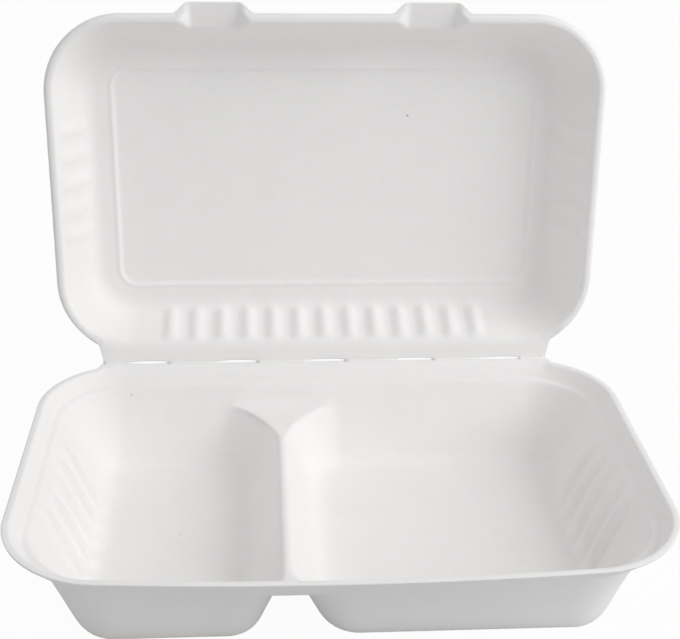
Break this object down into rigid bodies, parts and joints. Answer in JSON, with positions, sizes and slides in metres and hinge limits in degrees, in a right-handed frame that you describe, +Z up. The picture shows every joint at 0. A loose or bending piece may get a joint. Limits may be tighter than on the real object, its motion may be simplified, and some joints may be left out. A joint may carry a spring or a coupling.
{
  "type": "clamshell lunch box",
  "caption": "Hinged lunch box of moulded sugar cane fibre, standing open: a tray with two unequal compartments and a ribbed lid with channelled tabs.",
  "frame": {"origin": "on the table, in the middle of the ground that the open box covers", "axes": "+X along the fold towards the large compartment, +Y from the tray's front to the standing lid, +Z up"},
  "size_m": [0.248, 0.2017, 0.1987],
  "materials": {
    "pulp": "matt moulded fibre"
  },
  "bodies": {
    "tray": {"tray": "pulp"},
    "lid": {"lid": "pulp"}
  },
  "joints": [
    {"name": "lid_fold", "type": "hinge", "parent": "tray", "child": "lid", "pos_m": [0, 0.06408, 0.04215], "axis": [-1, 0, 0], "range_deg": [-97.2, 84.1]}
  ]
}
